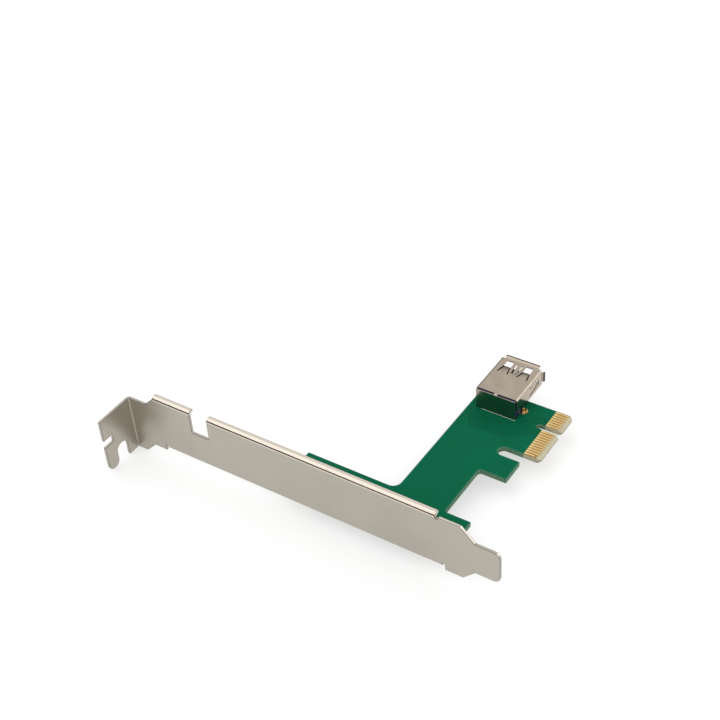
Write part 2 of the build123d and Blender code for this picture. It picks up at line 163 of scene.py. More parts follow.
class CardRelief(bpy.types.PropertyGroup):
    """Small shapes that the frame leaves to the finish."""

    bracket_edge: length("Bracket edge", 0.12 * MM, "Rounding of the bracket's sheared edges")
    shell_edge: length("Shell edge", 0.045 * MM, "Rounding of the shell's sheared edges")
    board_edge: length("Board edge", 0.05 * MM, "Break of the laminate's milled edge")
    plastic_edge: length("Plastic edge", 0.08 * MM, "Rounding of the moulded parts")
    trace_pitch: length("Trace pitch", 0.90 * MM, "Distance between two traces")
    trace_height: length("Trace height", 0.03 * MM, "Height of a trace under the lacquer")
    clearance: length("Clearance", 0.20 * MM, "Copper-free gap between two traces")
    thread_pitch: length("Thread pitch", 0.50 * MM, "Pitch of the bracket screws' thread")
    legend_width: length("Legend line", 0.16 * MM, "Width of the printed line")


class CardStage(bpy.types.PropertyGroup):
    """Light and floor."""

    sky: FloatProperty(name="Soft light", description="Even light from all round",
                       default=0.75, min=0)
    key: FloatProperty(name="Key light", description="Radiance of the large lamp overhead",
                       default=0.5, min=0)
    side: FloatProperty(name="Side light", description="Radiance of the lamp on the tongue's side",
                        default=1.2, min=0)
    floor: FloatProperty(name="Floor tone", description="Share of the light that the floor returns",
                         default=0.5, min=0, max=1)
    lift: FloatProperty(name="Floor lift", description="White that the floor adds where it is seen",
                        default=0.6, min=0, max=1)
    card: colour("Dark cards", (0.05, 0.024, 0.014), "Cards that the folded metal mirrors")


class Finish:
    """A procedural material on the row frame's own coordinates, in millimetres."""

    def __init__(self, name, base, roughness, metallic=0.0):
        self.material = bpy.data.materials.new(name)
        self.material.use_nodes = True
        self.tree = self.material.node_tree
        self.shader = self.tree.nodes["Principled BSDF"]
        self.give("Base Color", (*base, 1))
        self.give("Roughness", roughness)
        self.give("Metallic", metallic)
        where = self.node("ShaderNodeTexCoord")
        self.normal = where.outputs["Normal"]
        self.place = self.vector("SCALE", where.outputs["Object"], Scale=1 / MM)

    def feed(self, socket, value):
        if isinstance(value, bpy.types.NodeSocket):
            self.tree.links.new(value, socket)
        else:
            socket.default_value = value

    def give(self, socket, value):
        """Set or link one socket of the shader."""
        self.feed(self.shader.inputs[socket], value)

    def node(self, kind, **settings):
        made = self.tree.nodes.new(kind)
        for key, value in settings.items():
            setattr(made, key, value)
        return made

    def math(self, operation, *values, clamp=False):
        made = self.node("ShaderNodeMath", operation=operation, use_clamp=clamp)
        for socket, value in zip(made.inputs, values):
            self.feed(socket, value)
        return made.outputs[0]

    def vector(self, operation, *values, **named):
        made = self.node("ShaderNodeVectorMath", operation=operation)
        for socket, value in zip(made.inputs, values):
            self.feed(socket, value)
        for name, value in named.items():
            self.feed(made.inputs[name], value)
        return made.outputs["Vector"]

    def axes(self, vector):
        """The three components of a vector."""
        made = self.node("ShaderNodeSeparateXYZ")
        self.feed(made.inputs[0], vector)
        return made.outputs

    def noise(self, per_mm, detail=3.0, stretch=(1, 1, 1)):
        """Cloudy pattern with so many blots per millimetre.

        A stretch below 1 draws it out along that axis.
        """
        made = self.node("ShaderNodeTexNoise")
        self.feed(made.inputs["Vector"], self.vector("MULTIPLY", self.place, stretch))
        self.feed(made.inputs["Scale"], per_mm)
        self.feed(made.inputs["Detail"], detail)
        return made.outputs["Fac"]

    def spread(self, value, low, high, to_low=0.0, to_high=1.0):
        """Carry a value smoothly from one range to another, which may run downwards."""
        made = self.node("ShaderNodeMapRange", interpolation_type="SMOOTHSTEP")
        for socket, number in zip(made.inputs, (value, low, high, to_low, to_high)):
            self.feed(socket, number)
        return made.outputs[0]

    def blend(self, share, first, second):
        """Colour between two others."""
        made = self.node("ShaderNodeMix", data_type="RGBA")
        self.feed(made.inputs[0], share)
        for socket, value in ((made.inputs[6], first), (made.inputs[7], second)):
            self.feed(socket, value if isinstance(value, bpy.types.NodeSocket) else (*value, 1))
        return made.outputs[2]

    def mottle(self, pattern, base, contrast):
        """Colour that a pattern makes darker and lighter by a share of itself."""
        return self.blend(pattern, tint(base, 1 - contrast), tint(base, 1 + contrast))

    def bump(self, height, depth, below=None):
        """Relief of the given depth in metres, on top of another one."""
        made = self.node("ShaderNodeBump")
        self.feed(made.inputs["Strength"], 1.0)
        self.feed(made.inputs["Distance"], depth)
        self.feed(made.inputs["Height"], height)
        if below:
            self.feed(made.inputs["Normal"], below)
        return made.outputs["Normal"]


def tint(base, factor):
    """The same hue, lighter or darker."""
    return tuple(min(1.0, part * factor) for part in base)


def metal(name, base, roughness, cloud, grain_axis=None, wear=0.06, contrast=0.06, zones=()):
    """Plated metal: cloudy tarnish, fine grain along one axis and a few hairline marks.

    A zone is an axis, the millimetres along it between which the metal changes, and the colour
    and roughness that it changes to.
    """
    grain_stretch = 0.05
    mark_levels = (0.66, 0.72)
    smear_levels = (0.42, 0.62)
    finish = Finish(name, base, roughness, metallic=1.0)
    tone = finish.mottle(finish.spread(finish.noise(cloud, detail=5.0), *CLOUD), base, contrast)
    for axis, start, end, shade, dullness in zones:
        along = finish.axes(finish.place)[axis]
        tone = finish.blend(finish.spread(along, start, end), tone, shade)
        roughness = finish.spread(along, start, end, roughness, dullness)
    finish.give("Base Color", tone)
    stretch = [1.0, 1.0, 1.0]
    if grain_axis is not None:
        stretch[grain_axis] = grain_stretch
    grain = finish.noise(per_mm=3.0, detail=2.0, stretch=stretch)
    scratches = finish.noise(per_mm=1.3, detail=1.0, stretch=stretch)
    marks = finish.spread(scratches, *mark_levels)
    smudges = finish.noise(per_mm=0.6 * cloud, detail=2.0)
    smear = finish.spread(smudges, *smear_levels, to_low=-0.5 * wear, to_high=wear)
    uneven = finish.math("MULTIPLY_ADD", finish.math("SUBTRACT", grain, 0.5), wear, smear)
    worn = finish.math("MULTIPLY_ADD", marks, wear, uneven)
    finish.give("Roughness", finish.math("ADD", worn, roughness, clamp=True))
    fine = finish.bump(grain, depth=0.0015 * MM)
    finish.give("Normal", finish.bump(marks, depth=-0.003 * MM, below=fine))
    return finish.material


def plastic(name, base, roughness, specular):
    """Moulded plastic with a spark-eroded skin."""
    finish = Finish(name, base, roughness)
    finish.give("Specular IOR Level", specular)
    skin = finish.noise(per_mm=9.0, detail=2.0)
    cloud = finish.noise(per_mm=0.35, detail=2.0)
    finish.give("Base Color", finish.mottle(cloud, base, contrast=0.15))
    finish.give("Roughness", finish.spread(cloud, *CLOUD, to_low=roughness - 0.05,
                                           to_high=roughness + 0.06))
    finish.give("Normal", finish.bump(skin, depth=0.006 * MM))
    return finish.material


def depth_in_rectangle(finish, x, y, low_x, low_y, high_x, high_y):
    """Millimetres from a point to the nearest side of a rectangle, negative outside it."""
    sides = []
    for axis, low, high in ((x, low_x, high_x), (y, low_y, high_y)):
        middle = (low + high) / 2 / MM
        from_middle = finish.math("ABSOLUTE", finish.math("SUBTRACT", axis, middle))
        sides.append(finish.math("SUBTRACT", (high - low) / 2 / MM, from_middle))
    return finish.math("MINIMUM", *sides)


def depth_in_corner(finish, x, y, corner_x, corner_y, way_x, way_y, radius):
    """Millimetres from a point close behind an inner corner's arc to that arc, negative elsewhere.

    The ways are 1 or -1, towards the air on each axis.
    """
    radius /= MM
    left, below = (
        finish.math("SUBTRACT", radius,
                    finish.math("MULTIPLY_ADD", axis, way, -way * corner / MM))
        for axis, way, corner in ((x, way_x, corner_x), (y, way_y, corner_y)))
    squares = finish.math("MULTIPLY_ADD", left, left, finish.math("MULTIPLY", below, below))
    arc = finish.math("SUBTRACT", finish.math("SQRT", squares), radius)
    near = finish.math("MINIMUM", left, below)
    far = finish.math("SUBTRACT", 2 * radius, finish.math("MAXIMUM", left, below))
    return finish.math("MINIMUM", arc, finish.math("MINIMUM", near, far))


def depth_inside(finish, x, y):
    """Millimetres from a point on the board to the nearest part of its outline."""
    rectangles = (
        (BOARD_LOW.x, STRIP_LOW, STRIP_BACK_LOW, ARM_HIGH),
        (BOARD_LOW.x, ARM_LOW, STRIP_BACK_HIGH, BOARD_HIGH.y),
        (BOARD_LOW.x, ARM_LOW, BOARD_HIGH.x, ARM_HIGH),
        (TAB_FAR, TAB_TIP, TAB_SIDE, ARM_HIGH),
        (TAB_FAR, SLOT_TOP, BOARD_HIGH.x, ARM_HIGH),
        (TONGUE_FAR, 0.0, BOARD_HIGH.x, ARM_HIGH),
    )
    # Each inner corner: where it lies, which way the air is, and its rounding
    corners = (
        (STRIP_BACK_HIGH, ARM_HIGH, 1, 1, ARM_FILLET),
        (STRIP_BACK_LOW, ARM_LOW, 1, -1, CORNER_FILLET),
        (TAB_FAR, ARM_LOW, -1, -1, CORNER_FILLET),
        (TAB_SIDE, SLOT_TOP, 1, -1, SLOT_FILLET),
        (TONGUE_FAR, SLOT_TOP, -1, -1, SLOT_FILLET),
    )
    depths = [depth_in_rectangle(finish, x, y, *limits) for limits in rectangles]
    depths += [depth_in_corner(finish, x, y, *corner) for corner in corners]
    deepest = depths[0]
    for depth in depths[1:]:
        deepest = finish.math("MAXIMUM", deepest, depth)
    return deepest


def tongue_glass(finish, colours, y, weave):
    """Bare laminate between the edge contacts, paler on the bevel at the tip."""
    tip = FINGERS_LOW.y / MM
    bevel = 0.9
    weave_share = 0.3
    glass = finish.blend(finish.spread(y, tip + bevel, tip), colours.laminate, colours.tip)
    fibres = finish.math("MULTIPLY", weave, weave_share)
    return finish.blend(fibres, glass, tint(colours.laminate, 1.4))


def milled_edge(finish, colours, z, bare):
    """Cut laminate with its layers and fibres, which is paler where it has no lacquer."""
    layer_pitch = 0.2
    layer_share = 0.2
    streak_levels = (0.2, 0.8)
    layers = finish.math("SINE", finish.math("MULTIPLY", z, 2 * math.pi / layer_pitch))
    fibres = finish.noise(per_mm=1.6, detail=4.0, stretch=(1, 1, 0.3))
    streaks = finish.spread(finish.math("MULTIPLY_ADD", layers, layer_share, fibres),
                            *streak_levels)
    lacquered = finish.blend(streaks, tint(colours.edge, 0.75), tint(colours.edge, 1.3))
    pale = finish.blend(streaks, colours.tip, tint(colours.tip, 1.3))
    return finish.blend(bare, lacquered, pale)


def board_finish(colours):
    """Lacquered faces with a paler margin, bare tongue and milled edges."""
    # Millimetres from the outline between which the copper starts, where the lacquer ends
    # beside and above the bare tongue, and how soft its end is
    margin = (0.3, 0.5)
    mask_side = TONGUE_FAR / MM - 0.9
    mask_end = FINGERS_HIGH.y / MM
    blur = 0.1
    face_levels = (0.93, 0.97)
    cut_dullness = 0.35
    finish = Finish("board_laminate", colours.mask, roughness=0.3)
    finish.give("Specular IOR Level", LACQUER_SPECULAR)
    x, y, z = finish.axes(finish.place)
    flat = finish.spread(finish.math("ABSOLUTE", finish.axes(finish.normal)[2]), *face_levels)
    poured = finish.spread(depth_inside(finish, x, y), *margin)
    cloud = finish.noise(per_mm=0.12)
    weave = finish.noise(WEAVE_PER_MM, detail=1.0)
    copper = finish.mottle(cloud, colours.mask, contrast=0.12)
    lacquer = finish.blend(poured, colours.margin, copper)
    on_tongue = finish.spread(x, mask_side, mask_side + blur)
    bare = finish.math("MULTIPLY", on_tongue, finish.spread(y, mask_end + blur, mask_end))
    faces = finish.blend(bare, lacquer, tongue_glass(finish, colours, y, weave))
    finish.give("Base Color", finish.blend(flat, milled_edge(finish, colours, z, bare), faces))
    gloss = finish.spread(cloud, *CLOUD, to_low=0.26, to_high=0.34)
    dull = finish.math("MAXIMUM", bare, finish.math("SUBTRACT", 1.0, flat))
    finish.give("Roughness", finish.math("MULTIPLY_ADD", dull, cut_dullness, gloss, clamp=True))
    step = finish.bump(finish.math("MULTIPLY", poured, flat), depth=0.02 * MM)
    finish.give("Normal", finish.bump(weave, WEAVE_DEPTH, below=step))
    return finish.material


def lacquer_finish(name, base, roughness):
    """Lacquer over a small area of copper or laminate."""
    finish = Finish(name, base, roughness)
    finish.give("Specular IOR Level", LACQUER_SPECULAR)
    finish.give("Base Color", finish.mottle(finish.noise(per_mm=0.5), base, contrast=0.15))
    finish.give("Normal", finish.bump(finish.noise(WEAVE_PER_MM, detail=1.0), WEAVE_DEPTH))
    return finish.material


def finger_finish(colours):
    """Hard gold with wipe marks along the way that the card slides in."""
    # Millimetres from the tongue's tip between which the rubbing fades, and between which the
    # painted reflection of lighter gold sets in
    rub = (4.6, 1.4)
    gold_reflection_span = (3.6, 5.2)
    mark_levels = (0.5, 0.72)
    mark_dullness = 0.14
    finish = Finish("finger_gold", colours.gold, roughness=0.28, metallic=1.0)
    y = finish.axes(finish.place)[1]
    wipe = finish.noise(per_mm=7.0, stretch=(1, 0.04, 1))
    cloud = finish.noise(per_mm=0.7)
    mark = finish.math("MULTIPLY", finish.spread(wipe, *mark_levels), finish.spread(y, *rub))
    plate = finish.mottle(cloud, colours.gold, contrast=0.06)
    # Lighter gold towards the contacts' far ends: a painted reflection gradient.
    plate = finish.blend(finish.spread(y, *gold_reflection_span), plate, colours.painted_gold_reflection)
    finish.give("Base Color", finish.blend(mark, plate, tint(colours.gold, 0.78)))
    gloss = finish.spread(cloud, *CLOUD, to_low=0.24, to_high=0.34)
    finish.give("Roughness", finish.math("MULTIPLY_ADD", mark, mark_dullness, gloss))
    finish.give("Normal", finish.bump(wipe, depth=0.002 * MM))
    return finish.material


def printed_finish(colours):
    """Ink that covers the lacquer unevenly."""
    finish = Finish("printed_legend", colours.legend, roughness=0.62)
    cover_levels = (0.25, 0.45)
    cover = finish.spread(finish.noise(per_mm=5.0), *cover_levels)
    finish.give("Base Color", finish.blend(cover, tint(colours.legend, 0.6), colours.legend))
    finish.give("Normal", finish.bump(cover, depth=0.004 * MM))
    return finish.material


def dress(node, *finishes):
    """Give a CAD node its finishes: the first for its faces, a second for its rounded edges."""
    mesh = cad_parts[node].data
    mesh.materials.clear()
    for finish in finishes:
        mesh.materials.append(finish)


def place_of(point):
    """Coordinates as a key, to a tenth of a micrometre."""
    return tuple(round(part / (0.0001 * MM)) for part in point)


def is_sharp(edge):
    return len(edge.link_faces) == 2 and edge.calc_face_angle() > SHARP


def is_narrow(loop):
    """Whether two sharp edges meet here in a corner too narrow to round."""
    return (loop.calc_angle() < NARROW and is_sharp(loop.edge)
            and is_sharp(loop.link_loop_prev.edge))


def mark_edges(mesh):
    """Give a bevel weight to each sharp edge, but keep it sharp if it ends in a narrow corner."""
    shape = bmesh.new()
    shape.from_mesh(mesh)
    bmesh.ops.remove_doubles(shape, verts=shape.verts, dist=WELD)
    sharp = {frozenset(place_of(vert.co) for vert in edge.verts)
             for edge in shape.edges if is_sharp(edge)}
    bmesh.ops.dissolve_limit(shape, angle_limit=FLAT, verts=shape.verts, edges=shape.edges)
    narrow = {place_of(loop.vert.co) for face in shape.faces for loop in face.loops
              if is_narrow(loop)}
    shape.free()
    weights = mesh.attributes.new("bevel_weight_edge", "FLOAT", "EDGE")
    for edge, weight in zip(mesh.edges, weights.data):
        ends = frozenset(place_of(mesh.vertices[i].co) for i in edge.vertices)
        weight.value = float(ends in sharp and not ends & narrow)
        edge.use_edge_sharp = ends in sharp and bool(ends & narrow)


def soften(node, width, edge_slot=0, segments=2):
    """Round the sharp edges of a CAD node as it is shown, and smooth its bends."""
    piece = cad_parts[node]
    mark_edges(piece.data)
    custom = piece.data.attributes.get("custom_normal")
    if custom:
        piece.data.attributes.remove(custom)
    for face in piece.data.polygons:
        face.use_smooth = True
    weld = piece.modifiers.new("weld", "WELD")
    weld.merge_threshold = WELD
    flat = piece.modifiers.new("flat faces", "DECIMATE")
    flat.decimate_type = "DISSOLVE"
    flat.angle_limit = FLAT
    rounding = piece.modifiers.new("rounding", "BEVEL")
    rounding.width = width
    rounding.segments = segments
    rounding.limit_method = "WEIGHT"
    rounding.use_clamp_overlap = False
    rounding.harden_normals = True
    rounding.material = edge_slot


def add_piece(name, shape, finish, stands_for=()):
    """Make a new piece of the card from a bmesh drawn in the row frame."""
    mesh = bpy.data.meshes.new(name)
    bmesh.ops.recalc_face_normals(shape, faces=shape.faces)
    shape.to_mesh(mesh)
    shape.free()
    for face in mesh.polygons:
        face.use_smooth = True
    mesh.set_sharp_from_angle(angle=SHARP)
    mesh.materials.append(finish)
    piece = bpy.data.objects.new(name, mesh)
    bpy.context.scene.collection.objects.link(piece)
    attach(piece, "root")
    if stands_for:
        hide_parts(*stands_for)


def solids_of(node):
    """Lowest and highest corner of each separate solid in a CAD node, in order of X and Y."""
    shape = bmesh.new()
    shape.from_mesh(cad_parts[node].data)
    bmesh.ops.remove_doubles(shape, verts=shape.verts, dist=WELD)
    found = []
    left = set(shape.verts)
    while left:
        group = [left.pop()]
        for vert in group:
            for edge in vert.link_edges:
                other = edge.other_vert(vert)
                if other in left:
                    left.remove(other)
                    group.append(other)
        points = [vert.co for vert in group]
        low = Vector(min(point[axis] for point in points) for axis in range(3))
        high = Vector(max(point[axis] for point in points) for axis in range(3))
        found.append((low, high))
    shape.free()
    return sorted(found, key=lambda box: (round(box[0].x, 6), round(box[0].y, 6)))


def directions(sides):
    """X and Y of evenly spaced turns."""
    turns = [2 * math.pi * i / sides for i in range(sides)]
    return [(math.cos(turn), math.sin(turn)) for turn in turns]


def add_circle(shape, centre, radius, height, sides):
    """Points round an upright axis, or the one on it where the radius is 0."""
    return [shape.verts.new((centre.x + radius * x, centre.y + radius * y, height))
            for x, y in directions(sides if radius else 1)]


def join_rings(shape, first, second):
    """Faces between two rings of points, of which one or both may be a single point."""
    sides = max(len(first), len(second))
    for i in range(sides if sides > 1 else 0):
        corners = [first[i % len(first)], first[(i + 1) % len(first)],
                   second[(i + 1) % len(second)], second[i % len(second)]]
        shape.faces.new(list(dict.fromkeys(corners)))


def revolve(shape, centre, profile, sides=48):
    """Turn a closed profile of (radius, height) points about an upright axis through centre."""
    rings = [add_circle(shape, centre, radius, height, sides) for radius, height in profile]
    for first, second in zip(rings, rings[1:] + rings[:1]):
        join_rings(shape, first, second)


def sideways(path):
    """Sideways vector at each point of a flat path, longer at corners to keep a ribbon's width."""
    across = []
    for i, point in enumerate(path):
        runs = []
        if i:
            runs.append((point - path[i - 1]).normalized())
        if i < len(path) - 1:
            runs.append((path[i + 1] - point).normalized())
        normals = [Vector((-run.y, run.x)) for run in runs]
        middle = (normals[0] + normals[-1]).normalized()
        across.append(middle / middle.dot(normals[0]))
    return across


def ribbon(shape, path, width, foot, top):
    """Low rib along a flat path, with sloping sides from foot to top height."""
    widest_slope = 0.25 * width
    slope = min(widest_slope, abs(top - foot))
    half = width / 2
    profile = ((-half, foot), (slope - half, top), (half - slope, top), (half, foot))
    sections = [[shape.verts.new((*(point + across * offset), height))
                 for offset, height in profile]
                for point, across in zip(path, sideways(path))]
    for first, second in zip(sections, sections[1:]):
        for i in range(4):
            shape.faces.new((first[i], first[(i + 1) % 4], second[(i + 1) % 4], second[i]))
    shape.faces.new(sections[0])
    shape.faces.new(sections[-1][::-1])


def rounded_path(points, radius, steps=6):
    """Flat path through points in millimetres, with its corners rounded."""
    points = [Vector(point) * MM for point in points]
    path = [points[0]]
    shortest = 0.01 * MM
    for before, corner, after in zip(points, points[1:], points[2:]):
        reach = min(radius, (corner - before).length / 2, (after - corner).length / 2)
        start = corner + (before - corner).normalized() * reach
        end = corner + (after - corner).normalized() * reach
        for i in range(steps + 1):
            share = i / steps
            point = (start * (1 - share) ** 2 + corner * 2 * share * (1 - share)
                     + end * share ** 2)
            if (point - path[-1]).length > shortest:
                path.append(point)
    return path + [points[-1]]


class CardOperator:
    """What the card's operators share."""

    bl_options = {"REGISTER", "UNDO"}


class CARD_OT_bracket(CardOperator, bpy.types.Operator):
    """Satin nickel on the folded slot bracket, with a painted highlight along its folded edge and
    painted shade on its sheared edges
    """

    bl_idname = "card.bracket"
    bl_label = "Slot bracket"

    # Millimetres up the bracket's face between which its folded edge sets in, with a painted
    # highlight in its colour and a lower roughness
    fold_start = 15.1
    fold_full = 15.5
    fold_roughness = 0.15

    def execute(self, context):
        colours = context.scene.card_colours
        # Painted highlight: lighter nickel on the folded edge, together with a lower roughness.
        painted_highlight_zone = (2, self.fold_start, self.fold_full, colours.fold_highlight, self.fold_roughness)
        faces = metal("bracket_nickel", colours.bracket, roughness=0.32, cloud=0.05, grain_axis=1,
                      contrast=0.025, zones=(painted_highlight_zone,))
        # The bevels' much darker nickel is painted shade along the bracket's sheared edges.
        edges = metal("bracket_edge", tint(colours.bracket, 0.4), roughness=0.4, cloud=0.4,
                      grain_axis=1)
        dress("mounting_bracket", faces, edges)
        soften("mounting_bracket", context.scene.card_relief.bracket_edge, edge_slot=1)
        return {"FINISHED"}


class CARD_OT_board(CardOperator, bpy.types.Operator):
    """Green lacquer, bare tongue and milled edges of the circuit board"""

    bl_idname = "card.board"
    bl_label = "Circuit board"

    def execute(self, context):
        dress("circuit_board", board_finish(context.scene.card_colours))
        soften("circuit_board", context.scene.card_relief.board_edge, segments=1)
        return {"FINISHED"}


class CARD_OT_edge_contacts(CardOperator, bpy.types.Operator):
    """Hard gold on the contacts of the edge tongue"""

    bl_idname = "card.edge_contacts"
    bl_label = "Edge contacts"

    def execute(self, context):
        gold = finger_finish(context.scene.card_colours)
        for node in ("component_side_contacts", "solder_side_contacts"):
            dress(node, gold)
            soften(node, BRIM)
        return {"FINISHED"}


class CARD_OT_routing(CardOperator, bpy.types.Operator):
    """Traces under the lacquer, side by side from the receptacle to the edge contacts"""

    bl_idname = "card.routing"
    bl_label = "Routed traces"

    # Corners of the first trace in millimetres, each with the step to the next trace's corner,
    # and where each trace meets the contacts
    component_corners = (((-1.2, 25.2), (0, 0.42)), ((-3.4, 24.2), (-0.9, 0)),
                         ((-3.4, 16.5), (-0.9, -0.18)), ((-2.2, 13.6), (-0.76, -0.51)))
    component_ends = (3.5, 2.5, 1.5, -1.5, -2.5, -3.5, -4.5)
    solder_corners = (((-1.2, 17.0), (0, 1.6)), ((-2.6, 16.0), (-0.9, 1.6)),
                      ((-2.6, 11.0), (-0.9, -0.37)))
    solder_ends = (-1.5, -2.5, -3.5, -4.5)
    end_height = 5.5

    bend = 1.2 * MM
    sink = 0.01 * MM
    gap_height = 0.004 * MM

    def execute(self, context):
        colours = context.scene.card_colours
        relief = context.scene.card_relief
        gap = lacquer_finish("lacquer_over_gap", tint(colours.mask, 0.5), roughness=0.34)
        copper = lacquer_finish("lacquer_over_trace", colours.mask, roughness=0.3)
        width = relief.trace_pitch - 2 * relief.clearance
        for side, corners, ends, face, out in (
                ("component", self.component_corners, self.component_ends, BOARD_HIGH.z, 1),
                ("solder", self.solder_corners, self.solder_ends, BOARD_LOW.z, -1)):
            gaps = bmesh.new()
            traces = bmesh.new()
            foot = face - out * self.sink
            for path in self.paths(corners, ends):
                beside = [point + across * relief.trace_pitch / 2
                          for point, across in zip(path, sideways(path))]
                ribbon(gaps, path, relief.clearance, foot, face + out * self.gap_height)
                ribbon(traces, beside, width, foot, face + out * relief.trace_height)
            add_piece(f"{side}_side_clearances", gaps, gap)
            add_piece(f"{side}_side_traces", traces, copper)
        return {"FINISHED"}

    def paths(self, corners, ends):
        """One rounded path per trace, which turns by 45 degrees and runs down to its contact."""
        for i, x in enumerate(ends):
            points = [Vector(corner) + i * Vector(step) for corner, step in corners]
            points += [Vector((x, sum(points[-1]) - x)), Vector((x, self.end_height))]
            yield rounded_path(points, self.bend)


class CARD_OT_legend(CardOperator, bpy.types.Operator):
    """Printed outline of the receptacle on the component side"""

    bl_idname = "card.legend"
    bl_label = "Printed outline"

    inset = 0.5 * MM
    ink_height = 0.015 * MM
    # Distance of the line's middle behind the shell, as a share of the line's width
    behind = 0.3

    def execute(self, context):
        width = context.scene.card_relief.legend_width
        top = BOARD_HIGH.z
        rear = SHELL_LOW.x - self.behind * width
        line = [Vector((rear, SHELL_HIGH.y - self.inset)), Vector((rear, SHELL_LOW.y + self.inset))]
        shape = bmesh.new()
        ribbon(shape, line, width, top, top + self.ink_height)
        add_piece("receptacle_outline", shape, printed_finish(context.scene.card_colours))
        return {"FINISHED"}


class CARD_OT_plated_holes(CardOperator, bpy.types.Operator):
    """Round gold barrels and rings of the holes, and the sunken filling of the leg holes"""

    bl_idname = "card.plated_holes"
    bl_label = "Plated holes"

    rings = {"screw_hole_plating": 0.9 * MM, "shell_leg_holes": 0.35 * MM,
             "contact_holes": 0.2 * MM}
    barrel = 0.05 * MM
    filled = "shell_leg_holes"
    fill_depth = 0.1 * MM
    # Radius and depth of the filling's outline, in shares of the bore's radius
    filling = ((0, 0.35), (0.5, 0.28), (0.85, 0.12), (1, 0), (1, 0.6), (0, 0.6))

    def execute(self, context):
        gold = metal("ring_gold", context.scene.card_colours.gold, roughness=0.26, cloud=0.6)
        for node, ring in self.rings.items():
            shape = bmesh.new()
            for low, high in solids_of(node):
                centre = (low + high) / 2
                outer = (high.x - low.x) / 2
                wall = outer - ring
                bore = wall - self.barrel
                revolve(shape, centre, self.spool(low.z, high.z, outer, wall, bore))
                if node == self.filled:
                    rim = BOARD_HIGH.z - self.fill_depth
                    revolve(shape, centre,
                            [(out * bore, rim - down * bore) for out, down in self.filling])
            add_piece(f"{node}_round", shape, gold, (node,))
        return {"FINISHED"}

    def spool(self, foot, top, outer, wall, bore):
        """Outline of a barrel with a ring on each face of the board."""
        return [(bore, foot + BRIM), (bore + BRIM, foot), (outer - BRIM, foot),
                (outer, foot + BRIM), (outer, BOARD_LOW.z), (wall, BOARD_LOW.z),
                (wall, BOARD_HIGH.z), (outer, BOARD_HIGH.z), (outer, top - BRIM),
                (outer - BRIM, top), (bore + BRIM, top), (bore, top - BRIM)]


class CARD_OT_screws(CardOperator, bpy.types.Operator):
    """Pan-head screws with cross recess and thread"""

    bl_idname = "card.screws"
    bl_label = "Bracket screws"

    head_height = 2.0 * MM
    head_radius = 2.8 * MM
    head_break = 0.12 * MM
    head_rings = 44
    head_sides = 120
    # Share of the head's height that its crown takes, and how late it falls off
    crown = 0.65
    crown_power = 3.2

    arm = 1.85 * MM
    arm_width = 0.85 * MM
    recess_depth = 1.15 * MM
    recess_wall = 0.18 * MM
    # Share of the recess's depth that is lost at the end of an arm
    recess_rise = 0.45

    shank_radius = 1.5 * MM
    thread_play = 0.02 * MM
    thread_depth = 0.17 * MM
    thread_steps = 8
    thread_sides = 48
    tip_taper = 0.25 * MM

    def execute(self, context):
        nickel = metal("screw_nickel", context.scene.card_colours.screw, roughness=0.22, cloud=0.8)
        shape = bmesh.new()
        for low, high in solids_of("bracket_screws"):
            centre = (low + high) / 2
            seat = high.z - self.head_height
            self.head(shape, centre, seat)
            self.shank(shape, centre, seat, low.z, context.scene.card_relief.thread_pitch)
        add_piece("bracket_screw_set", shape, nickel, ("bracket_screws",))
        return {"FINISHED"}

    def top(self, x, y):
        """Height of the head over its seat, crowned at the rim and sunk in the cross."""
        out = math.hypot(x, y)
        fall = math.sqrt(max(0.0, 1 - (out / self.head_radius) ** self.crown_power))
        height = self.head_height * (1 - self.crown + self.crown * fall)
        inside = max(min(self.arm - abs(x), self.arm_width / 2 - abs(y)),
                     min(self.arm - abs(y), self.arm_width / 2 - abs(x)))
        wall = min(1.0, max(0.0, inside / self.recess_wall))
        floor = 1 - self.recess_rise * out / self.arm
        return height - self.recess_depth * floor * wall * wall * (3 - 2 * wall)

    def head(self, shape, centre, seat):
        """Crowned head from its middle outwards, then its rim and underside."""
        previous = [shape.verts.new((centre.x, centre.y, seat + self.top(0, 0)))]
        for ring in range(1, self.head_rings + 1):
            radius = self.head_radius * ring / self.head_rings
            points = [(radius * x, radius * y) for x, y in directions(self.head_sides)]
            current = [shape.verts.new((centre.x + x, centre.y + y, seat + self.top(x, y)))
                       for x, y in points]
            join_rings(shape, previous, current)
            previous = current
        for radius, height in ((self.head_radius, self.head_break),
                               (self.head_radius - self.head_break, 0.0),
                               (self.shank_radius, 0.0)):
            current = add_circle(shape, centre, radius, seat + height, self.head_sides)
            join_rings(shape, previous, current)
            previous = current

    def shank(self, shape, centre, seat, tip, pitch):
        """Threaded shank: the radius of a fine grid follows the thread."""
        count = math.ceil((seat - tip) / pitch * self.thread_steps)
        crest = self.shank_radius - self.thread_play
        previous = None
        for level in range(count + 1):
            z = seat + (tip - seat) * level / count
            taper = self.tip_taper * (1 - min(1.0, (z - tip) / pitch))
            current = []
            for i, (x, y) in enumerate(directions(self.thread_sides)):
                phase = (z / pitch - i / self.thread_sides) % 1
                ridge = 1 - abs(2 * phase - 1)
                radius = crest - self.thread_depth * (1 - ridge) - taper
                current.append(shape.verts.new((centre.x + radius * x, centre.y + radius * y, z)))
            if previous:
                join_rings(shape, previous, current)
            else:
                shape.faces.new(current)
            previous = current
        shape.faces.new(previous[::-1])


